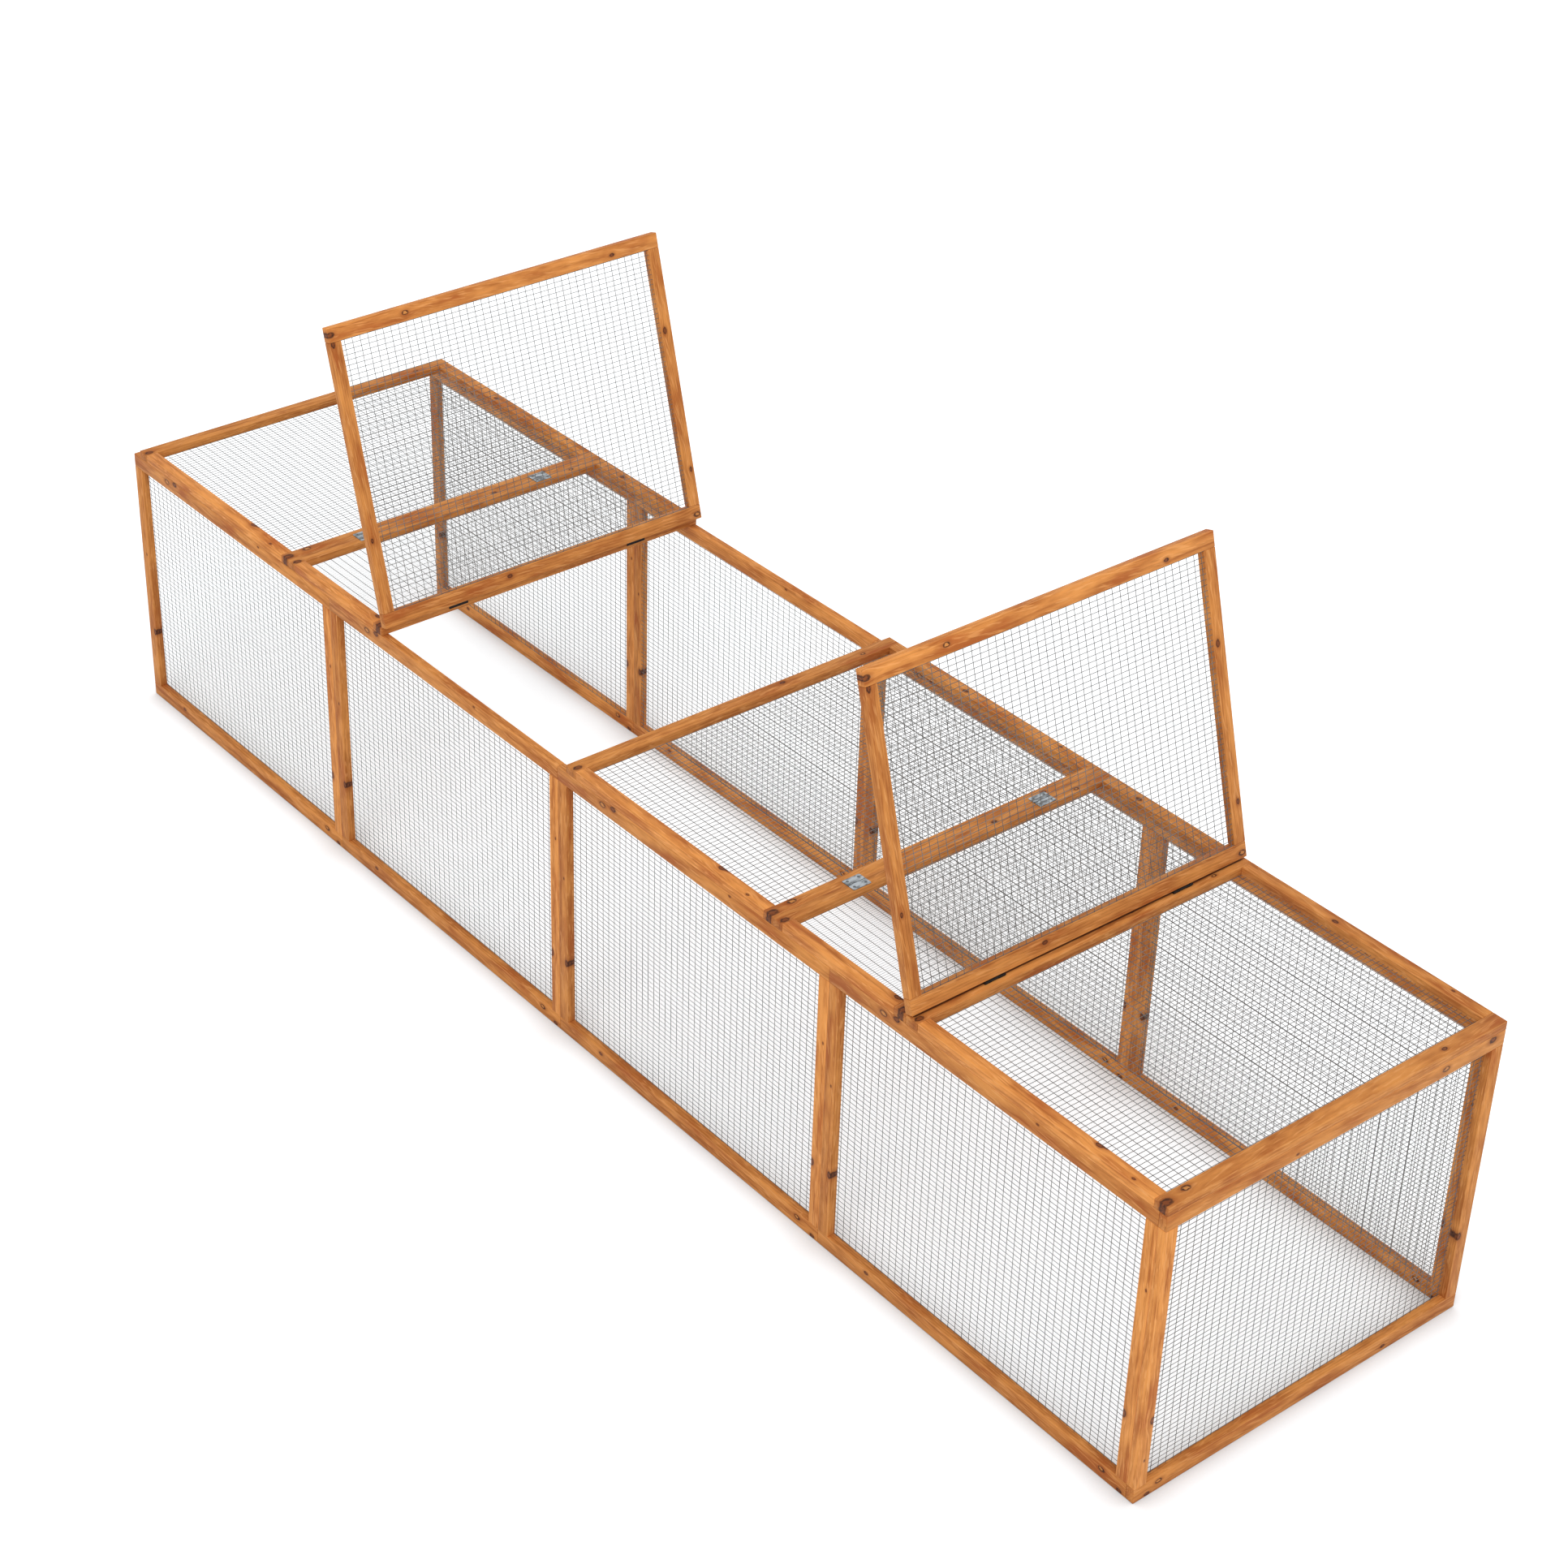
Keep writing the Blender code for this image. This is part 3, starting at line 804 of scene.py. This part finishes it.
class RUN_OT_nets(bpy.types.Operator):
    """Make the welded wire nets of all panels and both lids"""
    bl_idname = "run.nets"
    bl_label = "Nets"

    def execute(self, context):
        timber, sizes = context.scene.run_timber, context.scene.run_net
        wire, fine_wire = sizes.wire, sizes.fine_wire
        wide, narrow, fine = sizes.wide, sizes.narrow, sizes.fine
        side_rails = (timber.side_rail,) * 2
        for side, inward in zip(SIDES, (1, -1)):
            for number in SIDE_PANELS:
                hole = window(f"{side}_side_frame_{number}", Y, X, side_rails,
                              timber.side_stile)
                self.make(f"{side}_side_net_{number}",
                          net_shape(*hole, Y, inward, (wide, 0.0, narrow), (wire,) * 3))
        hole = window("end_frame", X, Y, side_rails, timber.end_stile)
        self.make("end_net", net_shape(*hole, X, -1, (0.0, wide, narrow), (wire,) * 3))
        for number, widths in roof_rails(timber):
            hole = window(f"roof_frame_{number}", Z, Y, widths, timber.roof_stile)
            short = number in SHORT_ROOF_PANELS
            self.make(f"roof_net_{number}",
                      net_shape(*hole, Z, -1, (fine if short else narrow, wide, 0.0),
                                (fine_wire if short else wire, wire, wire)))
        for lid in LIDS:
            turn = lid_turn(lid)
            hinge_rail, lift_rail, near_stile, far_stile = (
                closed_box(f"{lid}_{part}", turn)
                for part in ("hinge_rail", "lift_rail", "near_stile", "far_stile"))
            low = Vector((hinge_rail[1].x, near_stile[1].y, near_stile[0].z))
            high = Vector((lift_rail[0].x, far_stile[0].y, near_stile[1].z))
            shape = net_shape(low, high, Z, -1, (narrow, wide, 0.0), (wire,) * 3)
            bmesh.ops.transform(shape, matrix=turn, verts=shape.verts)
            self.make(f"{lid}_net", shape, lid)
        return {"FINISHED"}

    def make(self, node, shape, body="root"):
        """Put a net's wires in place of its node."""
        put(f"{node}_wires", shape, finish_of("net"), body, "galvanised_net", node)


# Fittings

GROOVE_DEPTH = 0.45  # of a plate's thickness


def fitting_shape():
    """An empty shape with the layer that says how deep a point lies, for painted shade."""
    shape = bmesh.new()
    shape.verts.layers.float_vector.new("low")
    return shape


def rounded_plate(low, high, sizes):
    """A thin plate with round corners and a groove across its middle, along Y."""
    shape = fitting_shape()
    middle, thick, groove = (low.x + high.x) / 2, high.z - low.z, sizes.groove
    depth = thick * GROOVE_DEPTH
    outline = ((low.x, low.z), (high.x, low.z), (high.x, high.z),
               (middle + groove, high.z), (middle + groove / 3, high.z - depth),
               (middle - groove / 3, high.z - depth), (middle - groove, high.z),
               (low.x, high.z))
    face = shape.faces.new([shape.verts.new((x, low.y, z)) for x, z in outline])
    moved = bmesh.ops.extrude_face_region(shape, geom=[face])["geom"]
    bmesh.ops.translate(shape, vec=(0, high.y - low.y, 0),
                        verts=[g for g in moved if isinstance(g, bmesh.types.BMVert)])
    posts = [e for e in shape.edges
             if abs((e.verts[0].co - e.verts[1].co).z) > thick * 0.9]
    bmesh.ops.bevel(shape, geom=posts, offset=sizes.corner, segments=4, profile=0.5,
                    affect="EDGES", clamp_overlap=True, material=-1)
    rim = [e for e in shape.edges if not e.is_boundary
           and all(v.co.z > high.z - 1e-6 for v in e.verts)
           and any(abs(f.normal.z) < 0.1 for f in e.link_faces)]
    bmesh.ops.bevel(shape, geom=rim, offset=sizes.rim, segments=2, profile=0.5,
                    affect="EDGES", clamp_overlap=True, material=-1)
    layer = shape.verts.layers.float_vector["low"]
    # How deep below the top a point lies, which the plate's finish paints as shade
    for vert in shape.verts:
        shade_depth = min(1.0, (high.z - vert.co.z) / depth)
        vert[layer] = (shade_depth, shade_depth, shade_depth)
    return shape


SCREW_SUNK = 0.0001  # how far a head sits in its plate
SCREW_ARM, SCREW_SLOT = 0.56, 0.16  # half the cross's reach and width, of the radius
SCREW_TOP = 0.34  # height of the dome, of the radius
SCREW_RINGS = ((0.68, 0.30), (0.92, 0.16), (1.0, 0.0))  # out and up, of the radius


def add_screw(shape, place, radius, turn):
    """Add one domed screw head with a cross slot, turned about its own axis."""
    layer = shape.verts.layers.float_vector["low"]
    before = set(shape.verts)
    arm, thick = radius * SCREW_ARM, radius * SCREW_SLOT
    cross = [(arm, -thick), (arm, thick), (thick, thick), (thick, arm), (-thick, arm),
             (-thick, thick), (-arm, thick), (-arm, -thick), (-thick, -thick),
             (-thick, -arm), (thick, -arm), (thick, -thick)]
    top = radius * SCREW_TOP
    slot = shape.faces.new([shape.verts.new((x, y, top)) for x, y in cross])
    rings = []
    for out, height in SCREW_RINGS:
        ring = bmesh.ops.create_circle(
            shape, cap_ends=False, segments=16, radius=radius * out,
            matrix=Matrix.Translation((0, 0, radius * height)))["verts"]
        rings.append(list({e for v in ring for e in v.link_edges}))
    bmesh.ops.bridge_loops(shape, edges=list(slot.edges) + rings[0])
    for inner, outer in zip(rings, rings[1:]):
        bmesh.ops.bridge_loops(shape, edges=inner + outer)
    bmesh.ops.contextual_create(shape, geom=rings[-1])
    moved = bmesh.ops.extrude_face_region(shape, geom=[slot])["geom"]
    floor = [g for g in moved if isinstance(g, bmesh.types.BMVert)]
    bmesh.ops.delete(shape, geom=[slot], context="FACES_ONLY")
    bmesh.ops.scale(shape, vec=(0.55, 0.55, 1.0), verts=floor)
    bmesh.ops.translate(shape, vec=(0, 0, -top * 0.8), verts=floor)
    # The slot's floor is marked for painted shade
    for vert in floor:
        vert[layer] = (1.0, 1.0, 1.0)
    mine = [v for v in shape.verts if v not in before]
    bmesh.ops.transform(shape, matrix=Matrix.Translation(place) @ turn, verts=mine)


class RUN_OT_joint_plates(bpy.types.Operator):
    """Make the four zinc joining plates and their screws"""
    bl_idname = "run.joint_plates"
    bl_label = "Joining plates"

    def execute(self, context):
        sizes = context.scene.run_fittings
        screws = fitting_shape()
        source = random.Random("plate screws")
        for joint in ("first", "second"):
            for side in SIDES:
                node = f"{joint}_joint_plate_{side}"
                low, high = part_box(node)
                put(f"{node}_zinc", rounded_plate(low, high, sizes),
                    finish_of("plate"), "root", "zinc_plate", node)
                inset, level = sizes.screw_inset, high.z - SCREW_SUNK
                for x in (low.x + inset, high.x - inset):
                    for y in (low.y + inset, high.y - inset):
                        spin = Matrix.Rotation(source.uniform(0, math.pi), 4, "Z")
                        add_screw(screws, (x, y, level), sizes.screw, spin)
        put("joint_plate_screws", screws, finish_of("screw"), "root", "zinc_plate")
        return {"FINISHED"}


class RUN_OT_hinges(bpy.types.Operator):
    """Give the lids' hinges their black finish"""
    bl_idname = "run.hinges"
    bl_label = "Hinges"

    def execute(self, context):
        black = finish_of("hinge")
        for lid in LIDS:
            for side in SIDES:
                for part in ("fixed_leaf", "moving_leaf", "pin"):
                    node = frame["nodes"][f"{lid}_hinge_{side}_{part}"]
                    if not node.material_slots:
                        node.data.materials.append(black)
                    for slot in node.material_slots:
                        slot.material = black
        return {"FINISHED"}


# The stage

FLOOR_DROP = 0.0005  # just under the run, so that no two faces lie in one another
SENSOR_WIDTH = 36.0  # millimetres, as the lens
SIGHT = 200.0  # the camera sees no further
BLACK, WHITE = (0.0, 0.0, 0.0), (1.0, 1.0, 1.0)


class RUN_OT_stage(bpy.types.Operator):
    """Make the pale floor, the soft light and the camera"""
    bl_idname = "run.stage"
    bl_label = "Stage"

    def execute(self, context):
        sizes = context.scene.run_stage
        self.make_floor(sizes)
        self.make_light(sizes)
        self.make_camera(context, sizes)
        context.scene.view_settings.view_transform = "Standard"
        return {"FINISHED"}

    def make_floor(self, sizes):
        """A wide pale floor that keeps the run's shadow and is white further off."""
        shape = bmesh.new()
        bmesh.ops.create_grid(shape, x_segments=8, y_segments=8, size=sizes.floor,
                              matrix=Matrix.Translation((0, 0, -FLOOR_DROP)))
        mesh = bpy.data.meshes.new("floor")
        shape.to_mesh(mesh)
        shape.free()
        floor = bpy.data.objects.new("floor", mesh)
        bpy.context.scene.collection.objects.link(floor)
        finish = Finish("pale floor")
        mottle = finish.noise(finish.object_place(), 3.0)
        clear = finish.node("ShaderNodeAmbientOcclusion", {"samples": 8},
                            Distance=sizes.contact_reach).outputs["AO"]
        shade = finish.math("SUBTRACT", 1.0, clear) * sizes.contact
        pale = finish.mix(mottle, (0.89, 0.92, 0.945), (0.91, 0.94, 0.965))
        glow = finish.mix(finish.seen() * (1.0 - shade), BLACK, WHITE)
        finish.set(Base_Color=finish.mix(shade, pale, BLACK), Roughness=0.9,
                   Specular_IOR_Level=0.0, Emission_Color=glow,
                   Emission_Strength=sizes.glow)
        mesh.materials.append(finish.material)

    def make_light(self, sizes):
        """One wide soft light, and an even sky that is seen as white."""
        light = bpy.data.lights.new("soft sun", "SUN")
        light.energy = sizes.sun
        light.angle = sizes.sun_spread
        sun = bpy.data.objects.new("soft sun", light)
        sun.rotation_euler = sizes.sun_turn
        bpy.context.scene.collection.objects.link(sun)
        world = bpy.data.worlds.new("studio")
        bpy.context.scene.world = world
        world.use_nodes = True
        sky = Nodes(world.node_tree)
        strength = sky.node("ShaderNodeMapRange", None,
                            {0: sky.seen(), 3: sizes.sky, 4: 1.0})
        background = sky.node("ShaderNodeBackground", Color=(*WHITE, 1.0),
                              Strength=strength.outputs[0])
        sky.node("ShaderNodeOutputWorld", Surface=background.outputs[0])

    def make_camera(self, context, sizes):
        """The photo's camera."""
        data = bpy.data.cameras.new("camera")
        data.lens = sizes.lens
        data.sensor_width = SENSOR_WIDTH
        data.shift_x = sizes.shift
        data.clip_end = SIGHT
        camera = bpy.data.objects.new("camera", data)
        camera.location = sizes.camera_place
        camera.rotation_euler = sizes.camera_turn
        context.scene.collection.objects.link(camera)
        context.scene.camera = camera


GROUPS = {"run_timber": RUN_PG_timber, "run_net": RUN_PG_net,
          "run_fittings": RUN_PG_fittings, "run_stage": RUN_PG_stage}
OPERATORS = (RUN_OT_side_frames, RUN_OT_end_frame, RUN_OT_roof_frames,
             RUN_OT_lid_frames, RUN_OT_nets, RUN_OT_joint_plates, RUN_OT_hinges,
             RUN_OT_stage)


class RUN_PT_panel(bpy.types.Panel):
    """Lists the run's sizes and the operators that make its pieces"""
    bl_idname = "RUN_PT_panel"
    bl_label = "Rabbit run"
    bl_space_type = "VIEW_3D"
    bl_region_type = "UI"
    bl_category = "Rabbit run"

    def draw(self, context):
        for group, kind in GROUPS.items():
            box = self.layout.box()
            for name in kind.__annotations__:
                box.prop(getattr(context.scene, group), name)
        for operator in OPERATORS:
            self.layout.operator(operator.bl_idname)


CLASSES = (*GROUPS.values(), *OPERATORS, RUN_PT_panel)


def register():
    for item in CLASSES:
        bpy.utils.register_class(item)
    for group, kind in GROUPS.items():
        setattr(bpy.types.Scene, group, PointerProperty(type=kind))


def unregister():
    for group in GROUPS:
        delattr(bpy.types.Scene, group)
    for item in reversed(CLASSES):
        bpy.utils.unregister_class(item)


def main():
    register()
    for operator in OPERATORS:
        group, name = operator.bl_idname.split(".")
        getattr(getattr(bpy.ops, group), name)()


if __name__ == "__main__":
    main()
